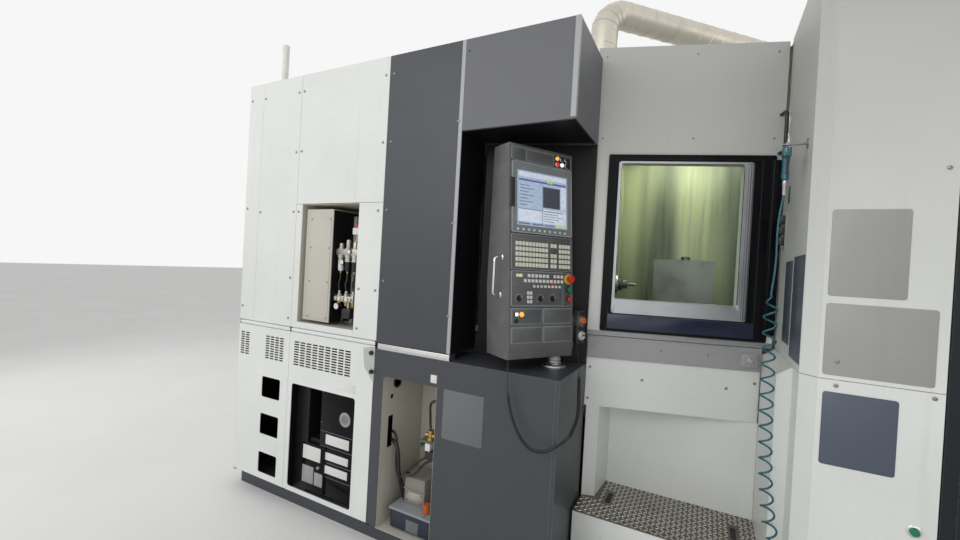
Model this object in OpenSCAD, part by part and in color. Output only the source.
// Horizontal machining centre with a swing pallet changer, seen from its operator side.
// X runs along the spindle from the cabinets to the pallet station, Y runs to the rear, Z is up.
// The origin lies on the floor under the middle of the machine. All sizes are in millimetres.

/* [Overall] */
// Depth from the cabinet front to the rear cover
machine_depth = 3000; // [2960:10:3200]
// Height of the cabinets and the hood
cabinet_top = 2880; // [2840:5:2920]
// Height of the door wall and the pallet station
station_top = 2965; // [2955:5:3100]
// Height of the covers' lower edges above the floor
skirt_z = 120; // [115:1:140]
// Sheet thickness of the covers
sheet = 4; // [3:0.5:6]

/* [Cabinet front] */
// Width of the left cabinet panel
left_panel_w = 538; // [520:2:600]
// Width of the middle cabinet panel
mid_panel_w = 740; // [720:2:800]
// Width of the dark panel
dark_panel_w = 510; // [500:2:560]
// Width of the hood over the console niche
hood_w = 614; // [600:2:660]
// Height of the hood's lower edge
hood_z = 2396; // [2360:4:2440]
// Depth of the hood from the cabinet front to the door wall
niche_depth = 492; // [480:2:520]
// Height of the joint between upper and lower cabinet panels
seam_z = 1204; // [1195:1:1230]
// Height of the ledge that carries the console
ledge_z = 1157; // [1140:1:1170]
// Lower edge of the upper middle panel
air_bay_top = 2024; // [1900:4:2100]
// Width of the air unit bay
air_bay_w = 496; // [440:4:500]
// Width of the opening in the lower middle panel
cooler_bay_w = 560; // [480:4:580]
// Height of the opening in the lower middle panel
cooler_bay_h = 682; // [600:4:690]
// Width of the pump bay in the dark panel
pump_bay_w = 376; // [340:2:390]

/* [Door wall] */
// Angle of the door wall to the cabinet front, degrees
door_angle = 17; // [15:0.5:18]
// Length of the door wall
door_wall_len = 964; // [940:2:1000]
// Height of the sill that the door runs on
sill_z = 1322; // [1310:1:1340]
// Height of the grey sill band
sill_h = 127; // [110:1:140]
// Height of the splash panel below the sill
splash_h = 275; // [240:1:290]
// Thickness of the door leaf
door_t = 40; // [30:1:50]
// Travel of the door
door_travel = 800; // [600:10:820]
// Width of the black window frame
window_w = 844; // [800:2:860]
// Height of the black window frame
window_h = 1003; // [960:2:1040]
// Width of the glass
glass_w = 662; // [600:2:680]
// Height of the glass
glass_h = 768; // [700:2:800]
// Height of the step above the floor
step_z = 405; // [360:5:430]
// Depth of the step
step_d = 435; // [400:5:440]

/* [Pallet station] */
// Width of the front pillar of the pallet station
pillar_w = 399; // [380:1:420]
// Width of the station doorway
station_door_w = 1277; // [1240:1:1320]
// Distance of the station front behind the cabinet front
station_setback = 37; // [20:1:60]
// Size of the corner bevels
bevel = 50; // [30:1:60]
// Height of the joint in the station covers
station_seam_z = 1331; // [1325:1:1360]

/* [Machining unit] */
// Height of the pallet top
pallet_z = 1156; // [1140:1:1160]
// Edge length of a pallet
pallet_w = 630; // [600:5:635]
// Thickness of a pallet
pallet_t = 100; // [80:1:110]
// Distance of the machining position from the origin
table_x = 340; // [335:1:345]
// Travel of the table to the pallet changer
table_travel = 680; // [640:10:700]
// Distance from the changer post to each pallet
changer_r = 700; // [695:1:705]
// Lift of the pallet changer
changer_lift = 80; // [60:1:80]
// Height of the spindle axis
spindle_z = 1600; // [1590:1:1620]
// Side length of the workholding block
block_w = 380; // [300:5:390]
// Height of the workholding block
block_h = 640; // [500:10:680]

/* [Console] */
// Width of the console
console_w = 420; // [400:2:440]
// Height of the console's face
console_h = 1030; // [1000:2:1050]
// Depth of the console at its foot
console_d = 200; // [190:1:205]
// Turn of the console towards the door, degrees
console_turn = 57.7; // [50:0.1:62]
// Backward tilt of the face, degrees
face_tilt = 5.2; // [4:0.1:6]
// Diameter of the emergency stop's head
stop_d = 40; // [34:1:44]

/* [Air gun] */
// Outer diameter of the hose coil
coil_d = 54; // [50:1:64]
// Diameter of the hose
hose_d = 8; // [6:0.5:9]

/* [Hidden] */
$fn = 48;
slab_h = 110;
wall_t = 30;
gap = 0.3;

// Lines of the cabinet front, from the door wall's corner to the left
x4 = -98;
x3 = x4 - hood_w;
x2 = x3 - dark_panel_w;
x1 = x2 - mid_panel_w;
x0 = x1 - left_panel_w;
front_y = -machine_depth / 2;
rear_y = machine_depth / 2;

// The door wall starts at the hood's rear corner
door_y = front_y + niche_depth;
x5 = x4 + door_wall_len * cos(door_angle);
y5 = door_y + door_wall_len * sin(door_angle);
station_y = front_y + station_setback;
x7 = x5 + pillar_w;
x8 = x7 + station_door_w;
x9 = x8 + pillar_w;

// Depth of the cabinets behind the front panels
cabinet_d = 590;
pedestal_l = x3 - 69;
pump_bay_r = pedestal_l;
pump_bay_l = pump_bay_r - pump_bay_w;
pump_bay_z = 205;
pump_bay_h = 800;
lower_top = seam_z - 32;
air_bay_l = x1 + 58;
air_bay_r = air_bay_l + air_bay_w;
air_bay_z = seam_z + 40;
cooler_l = x1 + 40;
cooler_z = 150;
bay_d = 420;

// Door leaf and window, measured along the door wall
leaf_s0 = -25;
leaf_s1 = 950;
leaf_top = station_top - 12;
win_s = 72;
win_z = sill_z + 32;
glass_s = win_s + 61;
glass_z = win_z + 183;
back_clear = 18;
niche_end_y = door_y - back_clear - (x4 - x3) * tan(door_angle) - 8;

// Step between the pedestal and the station
step_back = front_y + 750;
step_y = step_back - step_d;
step_l = x4 + 12;
bump_x = x5 - 56;
bump_y = front_y + 220;
step_r = bump_x - gap;
sill_s1 = (bump_x - x4) / cos(door_angle) - 1;

// Doors of the pallet station and their pivots
door_z0 = 304;
door_z1 = station_top - 264;
hinge_in = 14;
hinge_out = 10;

// Mist duct on the roof
duct_x = -230;
duct_y = -470;
duct_z = 3480;
duct_r = 90;
duct_bend = 150;
duct_run = 1550;
duct_turn = 44;

// Place of the air gun and the routes of its hose, chosen by hand
hang_x = x5 - 71.878;
hang_y = station_y + 151;
hang_z = 2254;
hook_r = 5;
fitting_x = hang_x + 51;
fitting_z = 433;

// Machining unit
riser_z = 650;
rail_h = 46;
saddle_l = 800;
saddle_w = 700;
saddle_z = riser_z + rail_h;
saddle_t = 150;
turn_z = saddle_z + saddle_t;
neck_z = 975;
setup_z = pallet_z - 6;
fork_z = setup_z - pallet_t;
post_x = table_x + table_travel + changer_r;
setup_x = post_x + changer_r;
column_x0 = -1480;
column_x1 = -820;
column_w = 900;
column_z0 = 646;
foot_z = 860;
column_top = 2560;
head_x1 = -300;
head_w = 420;
nose_x = -120;

// Console frame: pivot on the pedestal and the face's lower left corner
pivot_x = x4 - 132;
pivot_y = front_y + 303;
pivot_in = 362;
pivot_back = 82;
console_z = 1289;
lip = 65;
press_x = 384;
press_d = 26;
stop_z = 345;
start_z = 290;
hold_z = 238;

// Route of the pendant's curly cord, chosen by hand, measured from the console's pivot on the floor
pendant_route = [
    [-128, -314.4, 1223.9], [-128, -314.4, 1206], [-127, -317, 1175], [-123, -324, 1130],
    [-117, -332, 1085], [-108, -340, 1035], [-92, -348, 980], [-70, -354, 930],
    [-42, -357, 885], [-10, -358, 850], [28, -358, 830], [68, -356, 828],
    [106, -349, 842], [136, -333, 870], [156, -303, 905], [167, -261, 945],
    [170, -213, 985], [169, -163, 1025], [164, -113, 1065], [156, -65, 1110],
    [146, -18, 1160], [130, 19, 1203], [116, 39, 1238], [110.1, 45.1, 1263],
    [110.1, 45.1, 1280.9]
];
// Routes of the lead, of the coil's middle line and of the tail, measured from below the hook on the floor
lead_route = [
    [0, 0, 2094.9], [0, 0, 2060], [-5, 0, 2010], [-11, 0, 1960], [-14, 0, 1900],
    [-14, 0, 1840], [-13, 0, 1780], [-15, 0, 1720], [-19, 0, 1670], [-23, 0, 1628]
];
coil_route = [
    [-23, 0, 1628], [-22, 0, 1550], [-20, 0, 1450], [-19, 0, 1350], [-17, 0, 1250],
    [-16, 0, 1150], [-13, 0, 1050], [-9, 0, 950], [-3, 0, 850], [5, 0, 770],
    [15, 0, 690], [28, 0, 620], [38, 0, 575]
];
tail_route = [
    [38, 0, 575], [43, 0, 552], [47, 0, 528], [50, 0, 502], [51, 0, 476], [51, 0, 452.9]
];

white = [0.86, 0.87, 0.85];
dark = [0.24, 0.25, 0.27];
grey = [0.55, 0.56, 0.58];

// A box between two corners
module span(a, b) {
    translate(a) cube(b - a);
}

// Children placed on the door wall: X along it, Y into the machine
module on_door_wall() {
    translate([x4, door_y, 0]) rotate([0, 0, door_angle]) children();
}

// Children placed in the console's frame: origin at the foot of its face, on the left
module on_console() {
    translate([pivot_x, pivot_y, console_z]) rotate([0, 0, console_turn])
        translate([-pivot_in, -pivot_back, 0]) children();
}

// Children placed on the console's tilted face: X across, Z up the face, -Y outwards
module on_face() {
    on_console() rotate([-face_tilt, 0, 0]) children();
}

// A round-cornered flat outline
module round_rect(w, h, r) {
    hull() for (x = [r, w - r], y = [r, h - r]) translate([x, y]) circle(r, $fn = 32);
}

// A tube through the points of a route
function minus(a, b) = a - b;
function unit(v) = v / norm(v);
function heading(p, i) = unit(minus(p[min(i + 1, len(p) - 1)], p[max(i - 1, 0)]));
function side_of(d) = unit(cross(d, [0.31, 0.95, 0.05]));
function ring(p, i, r, n) = let (d = heading(p, i), u = side_of(d), v = cross(d, u))
    [for (k = [0:n - 1]) p[i] + r * (u * cos(360 * k / n) + v * sin(360 * k / n))];
module tube(p, d, n = 8) {
    m = len(p);
    points = [for (i = [0:m - 1]) each ring(p, i, d / 2, n)];
    walls = [for (i = [0:m - 2], k = [0:n - 1])
        [i * n + k, i * n + (k + 1) % n, (i + 1) * n + (k + 1) % n, (i + 1) * n + k]];
    polyhedron(points, concat(walls, [[for (k = [n - 1:-1:0]) k]], [[for (k = [0:n - 1]) (m - 1) * n + k]]));
}

// Cast base: floor slab, riser for the column, riser for the table and foot of the changer post
module bed() {
    color(dark) difference() {
        union() {
            span([x0 + 20, front_y + 60, 0], [x9 - 60, rear_y - 40, slab_h]);
            span([column_x0 - 60, -900, slab_h], [column_x1 + 60, 900, 600]);
            span([-250, -400, slab_h], [table_x + table_travel + 430, 400, riser_z]);
            for (y = [-300, 300]) {
                span([-180, y - 25, riser_z], [table_x + table_travel + 420, y + 25, saddle_z]);
            }
            for (x = [column_x0 + 80, column_x1 - 80]) {
                span([x - 30, -890, 600], [x + 30, 890, column_z0]);
            }
            translate([post_x, 0, slab_h]) cylinder(r = 260, h = 190);
        }
        for (x = [x0 + 160, x9 - 160], y = [front_y + 160, rear_y - 160]) {
            translate([x, y, -1]) cylinder(r = 13, h = slab_h + 2);
        }
    }
}

// Upright plates behind the cabinet fronts, with posts along the rear and at the station's doorway
module frame_uprights() {
    top = cabinet_top - sheet;
    back_y = front_y + cabinet_d;
    post = 60;
    back = rear_y - sheet;
    color(dark) {
        span([x0 + sheet, front_y + sheet, slab_h], [x0 + sheet + wall_t, back_y, top]);
        for (x = [x1, x2]) {
            span([x - wall_t / 2, front_y + sheet, slab_h], [x + wall_t / 2, back_y, top]);
        }
        span([x3 - wall_t, front_y + sheet, ledge_z + 34], [x3, niche_end_y, top]);
        for (x = [x0 + 90, x2, x4 - 80]) {
            span([x, back - post, slab_h], [x + post, back, top]);
        }
        for (x = [x5, post_x, x9 - 130]) {
            span([x, back - post, slab_h], [x + post, back, station_top - sheet]);
        }
        for (x = [x7 - 40 - post, x8 + 40]) {
            span([x, station_y + sheet, slab_h], [x + post, station_y + sheet + post, station_top - sheet]);
        }
    }
}

// Path that the open door takes through the roof
module door_path() {
    on_door_wall() span([leaf_s0 - door_travel - 20, -back_clear + 2, cabinet_top - 60],
        [door_wall_len, door_t + 24, station_top + 50]);
}

// Outer covers: left end wall, rear walls in two heights, and the roofs over cabinets and station
module outer_covers() {
    rear = rear_y - sheet;
    front = station_y + sheet;
    color(white) {
        span([x0, front_y, skirt_z], [x0 + sheet, rear_y, cabinet_top]);
        span([x0 + sheet, rear, skirt_z], [x4 - sheet, rear_y, cabinet_top]);
        span([x4 - sheet, rear, skirt_z], [x9 - sheet, rear_y, station_top]);
        difference() {
            span([x0 + sheet, front_y + sheet, cabinet_top - sheet], [x4 - sheet, rear, cabinet_top]);
            span([x3, front_y - 1, cabinet_top - 50], [x4, door_y, cabinet_top + 1]);
            door_path();
            translate([duct_x, duct_y, cabinet_top - 50]) cylinder(r = duct_r - 3, h = 60);
        }
        translate([0, 0, station_top - sheet]) linear_extrude(sheet) polygon([
            [x4 - sheet, door_y + 80], [x5 + sheet, y5 + 80], [x5 + sheet, front + bevel],
            [x5 + bevel, front + sheet], [x9 - bevel, front + sheet], [x9 - sheet, front + bevel],
            [x9 - sheet, rear], [x4 - sheet, rear]]);
        span([x4 - sheet, door_y + 120, cabinet_top - 40], [x4, rear, station_top - sheet]);
    }
}

// Upper cabinet panels: the folded left one, the middle one and the two beside the air unit bay
module cabinet_panels() {
    fold_x = x0 + 150;
    color(white) {
        difference() {
            span([x0 + sheet, front_y, seam_z], [x1 - 1, front_y + sheet, cabinet_top]);
            span([fold_x, front_y - 1, seam_z - 1], [fold_x + 2, front_y + 1, cabinet_top + 1]);
        }
        span([x1 + 1, front_y, air_bay_top], [x2 - 1, front_y + sheet, cabinet_top]);
        span([air_bay_r, front_y, seam_z], [x2 - 1, front_y + sheet, air_bay_top - 2]);
        difference() {
            span([x1 + 1, front_y, seam_z], [air_bay_r - 1, front_y + sheet, air_bay_top - 2]);
            span([air_bay_l, front_y - 1, air_bay_z], [air_bay_r, front_y + sheet + 1, air_bay_top]);
        }
    }
}

// Dark cabinet panel, the dark panel round the pump bay and the grey rail between them
module dark_panels() {
    color(dark) {
        span([x2 + 1, front_y, ledge_z + 40], [x3 - 24, front_y + sheet, cabinet_top]);
        difference() {
            span([x2 - 6, front_y, skirt_z], [pedestal_l - gap, front_y + sheet, ledge_z]);
            round_cut(pump_bay_l, skirt_z - 60, pump_bay_w + 60, pump_bay_z + pump_bay_h - skirt_z + 60, 28);
        }
    }
    color(grey) span([x2 + 16, front_y, ledge_z + gap], [x3 - 1, front_y + 60, ledge_z + 34]);
}

// Hood over the niche: front, right side, floor and top as one folded cover
module hood() {
    back = door_y - back_clear;
    reach = (x4 - x3) * tan(door_angle);
    color(dark) difference() {
        translate([0, 0, hood_z]) linear_extrude(cabinet_top - hood_z) polygon([
            [x3, front_y], [x4, front_y], [x4, back], [x3, back - reach]]);
        translate([0, 0, hood_z + sheet]) linear_extrude(cabinet_top - hood_z - 2 * sheet) polygon([
            [x3 - 1, front_y + sheet], [x4 - sheet, front_y + sheet],
            [x4 - sheet, back + 50], [x3 - 1, back - reach + 50]]);
        translate([x3 + 20, front_y - 1, cabinet_top - 64])
            rotate([-90, 0, 0]) cylinder(r = 5, h = sheet + 2);
    }
}

// Bright edge strips at the end of the dark panel and at the hood's corner
module edge_trims() {
    color(white) {
        span([x3 - 23, front_y, ledge_z + 40], [x3 - 1, front_y + sheet, cabinet_top]);
        span([x4 - 24, front_y - 2, hood_z + 8], [x4 + 1, front_y, cabinet_top]);
        span([x4, front_y, hood_z + 8], [x4 + 1, front_y + 22, cabinet_top]);
    }
}

// Wall behind the console, just clear of the sliding door
module niche_back() {
    len_s = (x4 - x3) / cos(door_angle);
    color([0.1, 0.1, 0.11]) on_door_wall()
        span([-len_s + 6, -back_clear - 3, ledge_z + gap], [-6, -back_clear, hood_z]);
}

// Rows of short slots, as one pattern of cuts
module slot_field(x, z, cols, rows, pitch_x, pitch_z, w, h) {
    for (i = [0:cols - 1], j = [0:rows - 1]) {
        translate([x + i * pitch_x, front_y - 1, z + j * pitch_z]) cube([w, sheet + 2, h]);
    }
}

// Cut with rounded corners through a front panel
module round_cut(x, z, w, h, r) {
    translate([x, front_y + sheet + 1, z]) rotate([90, 0, 0]) linear_extrude(sheet + 2) round_rect(w, h, r);
}

// Lower cabinet panels: three windows under a vent field, and the cooler bay under another
module lower_panels() {
    color(white) {
        difference() {
            span([x0 + sheet, front_y, skirt_z], [x1 - 1, front_y + sheet, lower_top]);
            slot_field(x0 + 24, 958, 2, 10, 52, 16.5, 42, 9);
            slot_field(x1 - 242, 958, 4, 10, 48, 16.5, 38, 9);
            for (z = [162, 430, 688]) {
                round_cut(x1 - 262, z, 186, 142, 12);
            }
        }
        difference() {
            span([x1 + 1, front_y, skirt_z], [x2 - 8, front_y + sheet, lower_top]);
            slot_field(x1 + 45, 956, 9, 10, 57, 16.5, 46, 9);
            round_cut(cooler_l, cooler_z, cooler_bay_w, cooler_bay_h, 18);
        }
    }
}

// Folded tub with one closed end, open to the front
module tub(x, z, w, h, d, t) {
    difference() {
        span([x - t, front_y + sheet, z - t], [x + w + t, front_y + sheet + d, z + h + t]);
        span([x, front_y, z], [x + w, front_y + sheet + d - t, z + h]);
    }
}

module air_bay() {
    color([0.75, 0.72, 0.65]) {
        tub(air_bay_l, air_bay_z, air_bay_w, air_bay_top - air_bay_z - 6, 330, 3);
        span([air_bay_l + 80, front_y + 200, air_bay_z],
            [air_bay_l + 290, front_y + sheet + 327, air_bay_top - 60]);
    }
}

// Filter, regulator and lubricator over a valve block, on one back plate
module air_unit() {
    y = front_y + 210;
    plate_y = front_y + sheet + 327;
    x = air_bay_l + 385;
    color([0.14, 0.14, 0.16]) span([air_bay_l + 292, plate_y - 6, air_bay_z + 20],
        [air_bay_r - 8, plate_y, air_bay_top - 40]);
    color([0.62, 0.6, 0.54]) {
        difference() {
            union() {
                span([x - 80, y - 18, 1640], [x + 90, y + 18, 1676]);
                for (i = [-1, 0, 1]) {
                    translate([x + i * 60, y, 1590]) cylinder(r = 24, h = 90);
                    translate([x + i * 60, y, 1500]) cylinder(r = 20, h = 90);
                    translate([x + i * 60, y, 1680]) cylinder(r = 12, h = 34);
                }
                span([x - 14, y + 18, 1644], [x + 14, plate_y - 6, 1672]);
            }
            translate([x, y - 30, 1700]) cylinder(r = 4, h = 40);
        }
        span([x - 90, y - 30, 1370], [x + 88, plate_y - 6, 1412]);
        for (i = [-1, 0, 1]) {
            translate([x + i * 58, y, 1412]) cylinder(r = 19, h = 34);
            translate([x + i * 58, y, 1330]) cylinder(r = 17, h = 40);
        }
    }
}

// Spindle cooler behind the lower panel: casing, tank, compressor box and name-free plates
module cooler_unit() {
    x = cooler_l - 10;
    y = front_y + 60;
    w = cooler_bay_w + 20;
    color([0.07, 0.07, 0.08]) {
        span([x, y + 330, slab_h], [x + w, y + 336, cooler_z + cooler_bay_h + 10]);
        span([x, y, slab_h], [x + 120, y + 330, cooler_z + cooler_bay_h + 10]);
        span([x + 280, y + 50, slab_h], [x + w, y + 330, cooler_z + cooler_bay_h + 10]);
        span([x + 120, y + 20, slab_h], [x + 280, y + 330, 470]);
    }
    color(grey) {
        span([x + 130, y + 12, 240], [x + 195, y + 20, 400]);
        span([x + 205, y + 12, 200], [x + 275, y + 20, 330]);
        span([x + 290, y + 44, 380], [x + 470, y + 50, 470]);
        span([x + 290, y + 44, 270], [x + 470, y + 50, 360]);
    }
}

module pump_bay() {
    color([0.8, 0.79, 0.75]) difference() {
        tub(pump_bay_l, slab_h + 3, pump_bay_w - 4, pump_bay_z + pump_bay_h - slab_h, bay_d, 3);
        translate([pump_bay_l - 10, front_y + 140, 945]) rotate([0, 90, 0]) cylinder(r = 32, h = 20);
        translate([pump_bay_l - 10, front_y + 95, 865]) rotate([0, 90, 0]) cylinder(r = 14, h = 20);
        translate([pump_bay_l - 10, front_y + 70, 560]) cube([20, 46, 190]);
    }
}

// Tank with a motor box, a terminal box and a pressure gauge, on the bay's floor
module coolant_pump() {
    x = pump_bay_l + 90;
    y = front_y + 70;
    color([0.1, 0.13, 0.18]) span([x, y, slab_h + 3], [x + 270, y + 260, 330]);
    color([0.55, 0.58, 0.6]) span([x - 8, y - 8, 330], [x + 276, y + 268, 346]);
    color([0.5, 0.48, 0.43]) {
        span([x + 60, y + 40, 346], [x + 180, y + 190, 510]);
        translate([x + 225, y + 90, 346]) cylinder(r = 22, h = 54);
    }
    color([0.3, 0.36, 0.26]) span([x + 170, y + 250, 640], [x + 282, bay_d + front_y + sheet - 3, 700]);
    color([0.6, 0.35, 0.2]) translate([x + 226, y + 290, 700]) cylinder(r = 24, h = 60);
}

// Dark pedestal that carries the console
module pedestal() {
    back = door_y - 2;
    reach = (x4 - pedestal_l) * tan(door_angle);
    color(dark) difference() {
        translate([0, 0, slab_h]) linear_extrude(ledge_z - slab_h) polygon([
            [pedestal_l, front_y], [x4, front_y], [x4, back], [pedestal_l, back - reach]]);
        translate([0, 0, slab_h - 1]) linear_extrude(ledge_z - slab_h - 5) polygon([
            [pedestal_l + 6, front_y + 6], [x4 - 6, front_y + 6], [x4 - 6, back - 8],
            [pedestal_l + 6, back - 8 - reach]]);
        translate([x4 - 22, front_y - 1, slab_h - 1]) cube([2, 2, ledge_z]);
    }
}

// Bare plates on the pedestal and the station covers
module sign_plates() {
    color(grey) {
        span([x3 - 24, front_y - 1.5, 740], [x3 + 220, front_y, 1006]);
        span([x5 + 64, station_y - 1.5, 1641], [x5 + 286, station_y, 1961]);
        span([x5 + 62, station_y - 1.5, 1348], [x5 + 370, station_y, 1614]);
        span([x5 + 67, station_y - 1.5, 1016], [x5 + 282, station_y, 1286]);
        span([x5 - 1.5, station_y + 58, 1360], [x5, station_y + 298, 1795]);
        span([x5 - 1.5, station_y + 328, 1400], [x5, station_y + 518, 1780]);
    }
    color(white) {
        span([x2 - 290, front_y - 1, 862], [x2 - 140, front_y, 914]);
        span([pedestal_l - 44, front_y - 1, 1026], [pedestal_l - 4, front_y, 1070]);
    }
}

// Disc and lower hub of the console's swivel
module swivel_base() {
    color([0.35, 0.35, 0.36]) translate([pivot_x, pivot_y, ledge_z]) rotate_extrude() polygon([
        [0, 0], [66, 0], [66, 8], [60, 12], [42, 12], [38, 20], [38, 34], [0, 34]]);
}

// Grey band that the door runs over, with its lock box
module sill() {
    color(grey) on_door_wall() {
        difference() {
            span([2, 0, sill_z - sill_h], [sill_s1, 60, sill_z - 2]);
            span([10, sheet, sill_z - sill_h - 1], [sill_s1 - 8, 52, sill_z - 8]);
        }
        span([804, -10, sill_z - 106], [884, 0, sill_z - 35]);
    }
}

// White splash panel below the sill
module splash_panel() {
    z1 = sill_z - sill_h;
    color(white) on_door_wall() difference() {
        span([2, 6, z1 - splash_h], [sill_s1, 46, z1]);
        span([6, 10, z1 - splash_h + 4], [sill_s1 - 4, 60, z1 - 4]);
    }
}

// A point of the door wall's frame in the part's frame
function on_wall(s, t) = [x4 + s * cos(door_angle) - t * sin(door_angle),
    door_y + s * sin(door_angle) + t * cos(door_angle)];

// Recessed wall over the step, with the narrow return at its left
module lower_wall() {
    top = sill_z - sill_h - splash_h;
    turn = step_l + 90;
    color(white) {
        span([turn, step_back, slab_h], [bump_x - gap, step_back + 30, top]);
        difference() {
            translate([0, 0, step_z]) linear_extrude(top - step_z)
                polygon([on_wall(14, 6), on_wall(86, 6), [turn, step_back], [turn, step_back + 30],
                    [step_l, step_back + 30], [step_l, door_y + 30]]);
            translate([0, 0, step_z + 6]) linear_extrude(top - step_z - 12)
                polygon([on_wall(26, 12), on_wall(80, 12), [turn - 8, step_back], [step_l + 8, step_back],
                    [step_l + 8, door_y + 34]]);
        }
        span([step_l, step_back, slab_h], [turn, step_back + 30, step_z]);
    }
}

// Box of the step with its checker plate, which has raised lozenges and two hand slots
module step() {
    color(white) difference() {
        span([step_l, step_y, slab_h], [step_r, step_back, step_z - 5]);
        span([step_l + 4, step_y + 4, slab_h - 1], [step_r - 4, step_back - 4, step_z - 9]);
    }
    color([0.6, 0.57, 0.5]) difference() {
        union() {
            span([step_l, step_y, step_z - 5], [step_r, step_back, step_z]);
            for (i = [0:20], j = [0:9]) {
                if (i > 2 || j < 4) {
                    turn = (i + j) % 2 == 0 ? 45 : -45;
                    translate([step_l + 20 + i * 40.6, step_y + 22 + j * 42, step_z])
                        rotate([0, 0, turn]) translate([-14, -4, 0]) cube([28, 8, 1.5]);
                }
            }
        }
        for (x = [step_l + 135, step_r - 110]) {
            translate([x, step_back - 260, step_z - 20]) cube([26, 120, 40]);
        }
    }
}

// Outline of the station cover's front left corner, for a cover whose side stands at x
module corner_cover(x, z0, z1) {
    translate([0, 0, z0]) linear_extrude(z1 - z0) polygon([
        [x, y5 + 2], [x, station_y + bevel], [x + bevel, station_y], [x7, station_y],
        [x7, station_y + sheet], [x + bevel + 2, station_y + sheet],
        [x + sheet, station_y + bevel + 2], [x + sheet, y5 + 2]]);
}

module station_upper_cover() {
    color(white) corner_cover(x5, station_seam_z + 2, station_top);
}

// Lower left cover of the station, with the closed box beside the splash panel
module station_lower_cover() {
    box_top = station_seam_z - 40;
    color(white) {
        corner_cover(x5, skirt_z, station_seam_z);
        difference() {
            union() {
                span([bump_x, bump_y, skirt_z], [x5, y5 - 28, box_top]);
                translate([0, y5 - 28, box_top]) rotate([90, 0, 0]) linear_extrude(y5 - 28 - bump_y)
                    polygon([[bump_x, 0], [x5, 0], [x5, 38]]);
            }
            span([bump_x + 3, bump_y + 3, skirt_z - 1], [x5 + 1, y5, box_top - 3]);
        }
    }
}

// Right-hand cover of the station: front pillar, bevel and end wall
module station_right_cover() {
    color(white) {
        translate([0, 0, skirt_z]) linear_extrude(station_top - skirt_z) polygon([
            [x8, station_y], [x9 - bevel, station_y], [x9, station_y + bevel], [x9, rear_y],
            [x9 - sheet, rear_y], [x9 - sheet, station_y + bevel + 2],
            [x9 - bevel - 2, station_y + sheet], [x8, station_y + sheet]]);
        span([x7, station_y, skirt_z], [x8, station_y + sheet, door_z0 - 4]);
        span([x7, station_y, door_z1 + 4], [x8, station_y + sheet, station_top]);
        for (x = [x7 + hinge_in, x8 - hinge_in], z = [door_z0 - 54, door_z1 + gap]) {
            lug_z = z < door_z0 ? z : z + 4;
            translate([x, station_y - hinge_out, z]) cylinder(r = 9, h = 54 - gap);
            span([x - 9, station_y - hinge_out, lug_z], [x + 9, station_y, lug_z + 50 - gap]);
        }
    }
}

// Inner walls: the one that the spindle works through and the rear wall
module chamber_walls() {
    wall_x = -260;
    rear = 820;
    color([0.5, 0.53, 0.5]) {
        difference() {
            span([wall_x - 6, -770, slab_h], [wall_x, rear + 6, cabinet_top - 60]);
            span([wall_x - 10, -650, 1000], [wall_x + 10, 650, 2220]);
        }
        span([wall_x, rear, slab_h], [x5 + 60, rear + 6, cabinet_top - 60]);
    }
}

module signal_lamp() {
    color([0.75, 0.74, 0.7]) translate([-2277, front_y + 100, cabinet_top]) rotate_extrude() polygon([
        [0, 0], [34, 0], [34, 10], [24, 14], [24, 90], [25, 92], [25, 296], [21, 302], [0, 302]]);
}

// Inner or outer shape of the duct: riser, elbow and straight
module duct_shape(r, longer = 0) {
    z0 = duct_z - duct_bend;
    translate([0, 0, cabinet_top - longer]) cylinder(r = r, h = z0 - cabinet_top + longer);
    translate([0, duct_bend, z0]) rotate([0, 0, -90]) rotate([90, 0, 0]) rotate_extrude(angle = 90)
        translate([duct_bend, 0]) circle(r);
    translate([0, duct_bend, duct_z]) rotate([-90, 0, 0]) cylinder(r = r, h = duct_run + longer);
}

// Mist duct with its roof flange, its folded seams and the stand that carries its free end
module extraction_duct() {
    stand_l = duct_bend + duct_run - 120;
    color([0.66, 0.62, 0.52]) translate([duct_x, duct_y, 0]) rotate([0, 0, -duct_turn]) {
        difference() {
            union() {
                duct_shape(duct_r);
                translate([0, 0, cabinet_top]) cylinder(r = duct_r + 30, h = 5);
                for (z = [cabinet_top + 60:85:duct_z - duct_bend - 20]) {
                    translate([0, 0, z]) cylinder(r = duct_r + 3, h = 7);
                }
                for (y = [duct_bend:102:duct_bend + duct_run - 10]) {
                    translate([0, y, duct_z]) rotate([-90, 0, 0]) cylinder(r = duct_r + 3, h = 7);
                }
                translate([0, stand_l, duct_z]) rotate([-90, 0, 0]) cylinder(r = duct_r + 8, h = 30);
            }
            duct_shape(duct_r - 3, 1);
        }
        translate([0, stand_l + 15, station_top]) cylinder(r = 14, h = duct_z - station_top - duct_r);
        translate([-60, stand_l - 45, station_top]) cube([120, 120, 6]);
    }
}

// Sliding door leaf: a pan with the black window frame on its front and two hangers at its top
module door_leaf() {
    color(white) on_door_wall() {
        difference() {
            span([leaf_s0, 0, sill_z + 2], [leaf_s1, door_t, leaf_top]);
            span([leaf_s0 + 3, 3, sill_z + 5], [leaf_s1 - 3, door_t + 1, leaf_top - 3]);
            span([glass_s, -1, glass_z], [glass_s + glass_w, 10, glass_z + glass_h]);
        }
        for (s = [60, 780]) {
            span([s, 2, leaf_top - 57], [s + 80, door_t + 24, leaf_top - 7]);
        }
    }
    color([0.03, 0.03, 0.05]) on_door_wall() {
        difference() {
            union() {
                span([win_s, -12, win_z], [win_s + window_w, 0, win_z + window_h]);
                span([win_s + window_w - 20, -30, win_z + 40], [leaf_s1 - 4, 0, win_z + window_h - 36]);
            }
            span([glass_s, -40, glass_z], [glass_s + glass_w, 1, glass_z + glass_h]);
        }
    }
}

module door_glass() {
    color([0.75, 0.85, 0.75, 0.35]) on_door_wall()
        span([glass_s, -8, glass_z], [glass_s + glass_w, 2, glass_z + glass_h]);
}

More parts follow.
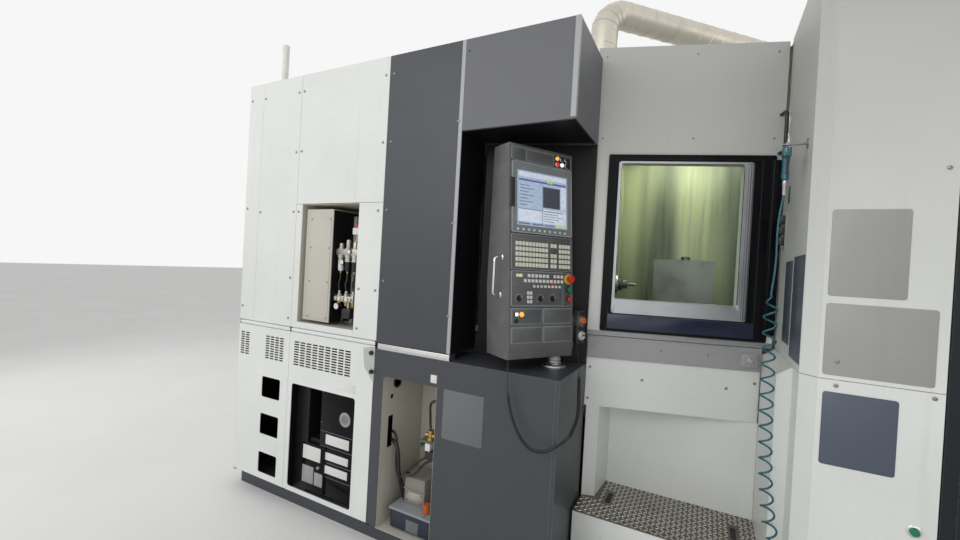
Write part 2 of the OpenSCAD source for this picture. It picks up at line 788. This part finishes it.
// Pull handle: a bent round bar on the door's closing edge
module door_handle() {
    z0 = 2360;
    h = 205;
    out = 62;
    bar = 9;
    corner = 24;
    s = leaf_s1 - 22;
    color([0.05, 0.05, 0.06]) on_door_wall() translate([s, 0, z0]) {
        for (z = [0, h]) {
            translate([0, -out + corner, z]) rotate([-90, 0, 0]) cylinder(r = bar, h = out - corner);
        }
        translate([0, -out, corner]) cylinder(r = bar, h = h - 2 * corner);
        translate([0, -out + corner, corner]) rotate([0, 0, 180]) rotate([0, 90, 0]) bar_bend(corner, bar);
        translate([0, -out + corner, h - corner])
            rotate([0, 0, -90]) rotate([90, 0, 0]) bar_bend(corner, bar);
    }
}

// A quarter bend of round bar
module bar_bend(corner, bar) {
    rotate_extrude(angle = 90) translate([corner, 0]) circle(bar);
}

// Top rail that the leaf hangs on, and the bottom guide with its bracket to the upright plate
module door_rail() {
    s0 = leaf_s0 - door_travel - 10;
    color(grey) {
        on_door_wall() {
            span([s0, door_t + 24 + gap, cabinet_top + gap],
                [leaf_s1 - 8, door_t + 64, station_top - sheet - gap]);
            span([s0, 14, sill_z - 30], [2, 46, sill_z - 2]);
        }
        difference() {
            span([x3 - wall_t, niche_end_y, sill_z - 30], [x3, niche_end_y + 60, sill_z - 2]);
            on_door_wall() span([s0, 30, sill_z - 40], [2, 150, sill_z]);
        }
    }
}

// Blow gun that hangs on its hook by an eye
module air_gun() {
    color([0.1, 0.3, 0.33]) translate([hang_x, hang_y, hang_z]) {
        difference() {
            union() {
                translate([0, 0, -150]) cylinder(r = 11, h = 104);
                span([-11, -30, -50], [11, 12, -14]);
                span([-5, -12, -14], [5, 12, 12]);
                translate([0, -30, -30]) rotate([90, 0, 0]) cylinder(r = 4, h = 50);
                translate([0, 0, -159]) cylinder(r = 7, h = 9);
            }
            translate([-10, 0, 0]) rotate([0, 90, 0]) cylinder(r = hook_r + gap, h = 20);
        }
    }
}

module gun_trigger() {
    color([0.1, 0.1, 0.11]) translate([hang_x, hang_y, hang_z]) {
        span([-4, -29, -125], [4, -24, -55]);
        translate([-4, -26.5, -55.3]) rotate([0, 90, 0]) cylinder(r = 5, h = 8);
    }
}

// Straight ends of the air hose
module air_hose() {
    color([0.05, 0.35, 0.4]) translate([hang_x, hang_y, 0]) {
        tube(lead_route, hose_d);
        tube(tail_route, hose_d);
    }
}

module air_coil() {
    color([0.05, 0.35, 0.4]) translate([hang_x, hang_y, 0]) tube(coil_route, coil_d, 12);
}

// Hook for the air gun and the hose's fitting, both on the side of the station
module air_fitting() {
    color([0.6, 0.6, 0.62]) {
        translate([hang_x - 16, hang_y, hang_z])
            rotate([0, 90, 0]) cylinder(r = hook_r, h = x5 - hang_x + 16);
        translate([x5 - 4, hang_y, hang_z]) rotate([0, 90, 0]) cylinder(r = 20, h = 4);
        translate([fitting_x, hang_y, fitting_z]) rotate([0, 90, 0]) cylinder(r = 7, h = x5 - fitting_x);
        translate([fitting_x, hang_y, fitting_z - 9]) cylinder(r = 9, h = 20);
        translate([fitting_x, hang_y, fitting_z + 11]) cylinder(r = 6, h = 8.8);
    }
}

// Console casing with its side handle and upper hub
module console_body() {
    back_top = console_h * sin(face_tilt) + 140;
    top = console_h * cos(face_tilt);
    color(dark) on_console() difference() {
        intersection() {
            rotate([90, 0, 90]) linear_extrude(console_w) polygon([
                [8, -lip], [0, 0], [console_h * sin(face_tilt), top], [back_top, top],
                [back_top, 300], [console_d, -lip]]);
            translate([0, 0, -lip - 1]) linear_extrude(top + lip + 2) polygon([
                [-1, -1], [console_w + 1, -1], [console_w + 1, 180],
                [console_w - 85, back_top + 1], [-1, back_top + 1]]);
        }
        rotate([-face_tilt, 0, 0]) translate([14, -1, 14]) cube([console_w - 28, 9, console_h - 28]);
    }
    color([0.35, 0.35, 0.36]) translate([pivot_x, pivot_y, ledge_z + 34 + gap])
        cylinder(r = 36, h = console_z - lip - ledge_z - 34 - gap);
    color([0.75, 0.75, 0.77]) on_console() {
        for (z = [250, 440]) {
            translate([-46, 96, z]) rotate([0, 90, 0]) cylinder(r = 6, h = 46);
        }
        translate([-46, 96, 244]) cylinder(r = 6, h = 202);
    }
}

// Panels let into the face: lamp strip, screen, keyboard, switches and four blanks
module console_panels() {
    w = console_w - 28;
    color([0.3, 0.31, 0.32]) on_face() translate([14, 0, 0]) {
        span([0, 0, 944], [w, 8, 1014]);
        difference() {
            span([0, -8, 572], [w, 8, 938]);
            span([30, -9, 612], [w - 30, -4, 896]);
        }
        span([0, -2, 386], [w, 8, 566]);
        difference() {
            span([0, -2, 200], [w, 8, 380]);
            for (b = [[stop_z, stop_d], [start_z, press_d], [hold_z, press_d]]) {
                translate([press_x - 14, 6.5, b[0]])
                    rotate([90, 0, 0]) cylinder(r = b[1] * 0.3 + gap, h = 20);
            }
        }
        for (x = [0, w / 2 + 3], z = [14, 108]) {
            span([x, -2, z], [x + w / 2 - 3, 8, z + 84]);
        }
    }
    color([0.65, 0.75, 0.85]) on_face() span([48, -5, 616], [console_w - 48, -4, 892]);
}

// Key caps, soft keys and small lamps
module console_keys() {
    color([0.85, 0.84, 0.78]) on_face() {
        for (i = [0:9], j = [0:4]) {
            span([40 + i * 21, -5, 400 + j * 27], [56 + i * 21, -2, 420 + j * 27]);
        }
        for (i = [0:1], j = [0:2]) {
            span([264 + i * 22, -5, 400 + j * 27], [281 + i * 22, -2, 420 + j * 27]);
        }
        for (i = [0:3], j = [0:4]) {
            span([320 + i * 20, -5, 400 + j * 27], [336 + i * 20, -2, 420 + j * 27]);
        }
        for (i = [0:9]) {
            translate([50 + i * 34, -8, 590]) rotate([90, 0, 0]) cylinder(r = 6, h = 3);
        }
        for (i = [0:12], j = [0:1]) {
            span([44 + i * 24, -5, 322 + j * 26], [60 + i * 24, -2, 338 + j * 26]);
        }
        for (i = [0:1], j = [0:2]) {
            span([112 + i * 18, -5, 216 + j * 22], [126 + i * 18, -2, 232 + j * 22]);
        }
        for (i = [0:2], j = [0:1]) {
            translate([310 + i * 32, 0, 962 + j * 32]) rotate([90, 0, 0]) cylinder(r = 9, h = 8);
        }
        for (x = [44, 76]) {
            translate([x, -2, 160]) rotate([90, 0, 0]) cylinder(r = 11, h = 8);
        }
    }
}

// A push button's head on its stem, which sits in a bore of the switch panel
module button(z, d, h) {
    on_face() translate([press_x, -1, z]) rotate([90, 0, 0]) rotate_extrude() polygon([
        [0, 0], [d * 0.3, 0], [d * 0.3, h * 0.45], [d / 2, h * 0.5],
        [d / 2, h * 0.85], [d * 0.42, h], [0, h]]);
}

module stop_button() {
    color([0.8, 0.1, 0.08]) button(stop_z, stop_d, 38);
}

module start_button() {
    color([0.05, 0.5, 0.3]) button(start_z, press_d, 20);
}

module hold_button() {
    color([0.8, 0.15, 0.1]) button(hold_z, press_d, 20);
}

// A rotary switch with a pointer grip
module knob(x) {
    color([0.06, 0.06, 0.07]) on_face() translate([x, -2 - gap, 240]) rotate([90, 0, 0]) {
        cylinder(r = 15, h = 8);
        translate([-4, -14, 8]) cube([8, 28, 12]);
    }
}

module spindle_knob() {
    knob(62);
}

module rapid_knob() {
    knob(196);
}

module feed_knob() {
    knob(274);
}

// Hand-held pulse generator in its holder at the console's right side
module pendant() {
    x = console_w;
    color([0.1, 0.1, 0.11]) on_console() {
        span([x, 10, 30], [x + 12, 60, 150]);
        difference() {
            span([x + 12, -14, 1], [x + 66, 40, 180]);
            translate([x + 39, -7, 128]) rotate([90, 0, 0]) cylinder(r = 10 + gap, h = 20);
        }
        translate([x + 39, 13, -8]) cylinder(r = 9, h = 9);
    }
}

module pendant_wheel() {
    color([0.7, 0.7, 0.72]) on_console() translate([console_w + 39, -14 - gap, 46]) rotate([90, 0, 0]) {
        cylinder(r = 24, h = 10);
        translate([13, 0, 10]) cylinder(r = 5, h = 14);
    }
}

module pendant_stop() {
    color([0.85, 0.35, 0.08]) on_console() translate([console_w + 39, -13, 128]) rotate([90, 0, 0]) {
        cylinder(r = 10, h = 9);
        translate([0, 0, 9]) cylinder(r = 16, h = 12);
    }
}

module pendant_cord() {
    color([0.05, 0.05, 0.06]) translate([pivot_x, pivot_y, 0]) tube(pendant_route, 18, 10);
}

// Travelling column with its saddle
module column() {
    w = column_w / 2;
    color([0.6, 0.62, 0.6]) difference() {
        union() {
            span([column_x0, -w, column_z0 + gap], [column_x1, w, foot_z]);
            span([column_x0 + 60, -w + 60, foot_z], [column_x1, w - 60, column_top]);
        }
        span([column_x0 + 200, -230, foot_z + 40], [column_x1 + 1, 230, column_top - 80]);
    }
    color(grey) for (y = [-300, 300]) {
        span([column_x1, y - 25, foot_z + 60], [column_x1 + 30, y + 25, column_top - 40]);
    }
}

// Spindle head on the column's front, with the motor behind it
module spindle_head() {
    w = head_w / 2;
    x = column_x1 + 30 + gap;
    color([0.66, 0.68, 0.66]) {
        difference() {
            union() {
                span([x, -400, spindle_z - 260], [x + 80, 400, spindle_z + 260]);
                span([x + 80, -w, spindle_z - 220], [head_x1 - 60, w, spindle_z + 220]);
                translate([head_x1 - 60, 0, spindle_z]) rotate([0, 90, 0]) cylinder(r = 170, h = 130);
                translate([head_x1 + 70, 0, spindle_z]) rotate([0, 90, 0]) cylinder(r = 125, h = 60);
            }
            translate([x - 1, 0, spindle_z]) rotate([0, 90, 0]) cylinder(r = 80.05, h = 900);
        }
        span([column_x1 - 240, -180, spindle_z - 180], [x, 180, spindle_z + 180]);
    }
}

// Spindle with a tool holder and an end mill in its nose
module spindle() {
    x0s = column_x1 + 40;
    color([0.72, 0.73, 0.75]) translate([x0s, 0, spindle_z]) rotate([0, 90, 0]) rotate_extrude()
        polygon([
            [0, 0], [80, 0], [80, -x0s - 170], [64, nose_x - x0s], [48, nose_x - x0s],
            [48, nose_x - x0s + 30], [32, nose_x - x0s + 34], [32, nose_x - x0s + 70],
            [10, nose_x - x0s + 74], [10, nose_x - x0s + 130], [0, nose_x - x0s + 130]]);
}

// Table saddle on the bed's rails
module table_saddle() {
    l = saddle_l / 2;
    w = saddle_w / 2;
    color([0.55, 0.57, 0.56]) difference() {
        span([table_x - l, -w, saddle_z + gap], [table_x + l, w, turn_z]);
        translate([table_x, 0, turn_z - 30]) cylinder(r = 120, h = 31);
    }
}

// Rotary table on the saddle
module rotary_table() {
    color([0.6, 0.62, 0.6]) translate([table_x, 0, 0]) {
        translate([0, 0, turn_z + gap]) cylinder(r = 300, h = neck_z - turn_z - gap);
        translate([0, 0, neck_z]) cylinder(r = 200, h = pallet_z - pallet_t - neck_z);
        translate([0, 0, turn_z - 30 + gap]) cylinder(r = 119.95, h = 30);
    }
}

// Pallet on the table with its workholding block and a clamped workpiece
module work_pallet() {
    color([0.62, 0.64, 0.62]) translate([table_x, 0, pallet_z - pallet_t]) {
        pallet();
        translate([0, 0, pallet_t]) block();
    }
}

module pallet() {
    w = pallet_w / 2;
    c = 60;
    difference() {
        linear_extrude(pallet_t) polygon([
            [-w + c, -w], [w - c, -w], [w, -w + c], [w, w - c],
            [w - c, w], [-w + c, w], [-w, w - c], [-w, -w + c]]);
        for (x = [-200, -100, 0, 100, 200], y = [-200, -100, 0, 100, 200]) {
            translate([x, y, pallet_t - 30]) cylinder(r = 8, h = 31, $fn = 16);
        }
    }
}

module block() {
    w = block_w / 2;
    span([-w - 30, -w - 30, 0], [w + 30, w + 30, 40]);
    difference() {
        span([-w, -w, 40], [w, w, block_h]);
        span([-w + 50, -w + 50, 41], [w - 50, w - 50, block_h - 30]);
    }
    translate([0, 0, block_h]) cylinder(r = 30, h = 30);
}

// Lifting post of the pallet changer
module changer_post() {
    color([0.6, 0.6, 0.58]) translate([post_x, 0, 300 + gap]) {
        cylinder(r = 180, h = fork_z - 62 - 300 - 2 * gap);
        cylinder(r = 109.95, h = fork_z - 20 - 300);
    }
}

// Swinging arm with a fork to each side, and the dividing wall on it
module changer_arm() {
    color([0.6, 0.6, 0.58]) translate([post_x, 0, 0]) difference() {
        span([-changer_r - 156, -300, fork_z - 60], [changer_r + 156, 300, fork_z]);
        for (side = [0, 180]) rotate([0, 0, side]) {
            span([changer_r - 260, -215, fork_z - 70], [changer_r + 200, 215, fork_z + 10]);
        }
        translate([0, 0, fork_z - 61]) cylinder(r = 110, h = 45);
    }
    color([0.8, 0.82, 0.8]) translate([post_x, 0, 0]) span([-15, -1000, fork_z], [15, 1000, 2600]);
}

module setup_pallet() {
    color([0.62, 0.64, 0.62]) translate([setup_x, 0, fork_z]) {
        pallet();
        translate([0, 0, pallet_t]) block();
    }
}

// Hinged doors of the pallet station, each with a window and a bar handle
module station_door_left() {
    color(dark) station_leaf(x7 + 4, x7 + station_door_w / 2 - 2, x7 + hinge_in, 1);
}

module station_door_right() {
    color(dark) station_leaf(x7 + station_door_w / 2 + 2, x8 - 4, x8 - hinge_in, -1);
}

module station_leaf(a, b, pin_x, side) {
    difference() {
        span([a, station_y, door_z0], [b, station_y + 34, door_z1]);
        span([a + 110, station_y - 1, 1590], [b - 110, station_y + 40, 2420]);
        span([a + 4, station_y + 4, door_z0 + 4], [b - 4, station_y + 40, 1500]);
    }
    span([a + 110, station_y + 12, 1590], [b - 110, station_y + 18, 2420]);
    grip_x = side > 0 ? b - 60 : a + 60;
    for (z = [1180, 1420]) {
        translate([grip_x, station_y, z]) rotate([90, 0, 0]) cylinder(r = 8, h = 44);
    }
    translate([grip_x, station_y - 44, 1150]) cylinder(r = 11, h = 300);
    for (z = [door_z0, door_z1 - 50]) {
        translate([pin_x, station_y - hinge_out, z]) cylinder(r = 9, h = 50);
        span([min(pin_x, pin_x + side * 34), station_y - 6, z],
            [max(pin_x, pin_x + side * 34), station_y, z + 50]);
    }
}

bed();
frame_uprights();
outer_covers();
cabinet_panels();
dark_panels();
hood();
edge_trims();
niche_back();
lower_panels();
air_bay();
air_unit();
cooler_unit();
pump_bay();
coolant_pump();
pedestal();
sign_plates();
swivel_base();
sill();
splash_panel();
lower_wall();
step();
station_upper_cover();
station_lower_cover();
station_right_cover();
chamber_walls();
signal_lamp();
extraction_duct();
door_leaf();
door_glass();
door_handle();
door_rail();
air_gun();
gun_trigger();
air_hose();
air_coil();
air_fitting();
console_body();
console_panels();
console_keys();
stop_button();
start_button();
hold_button();
spindle_knob();
rapid_knob();
feed_knob();
pendant();
pendant_wheel();
pendant_stop();
pendant_cord();
column();
spindle_head();
spindle();
table_saddle();
rotary_table();
work_pallet();
changer_post();
changer_arm();
setup_pallet();
station_door_left();
station_door_right();
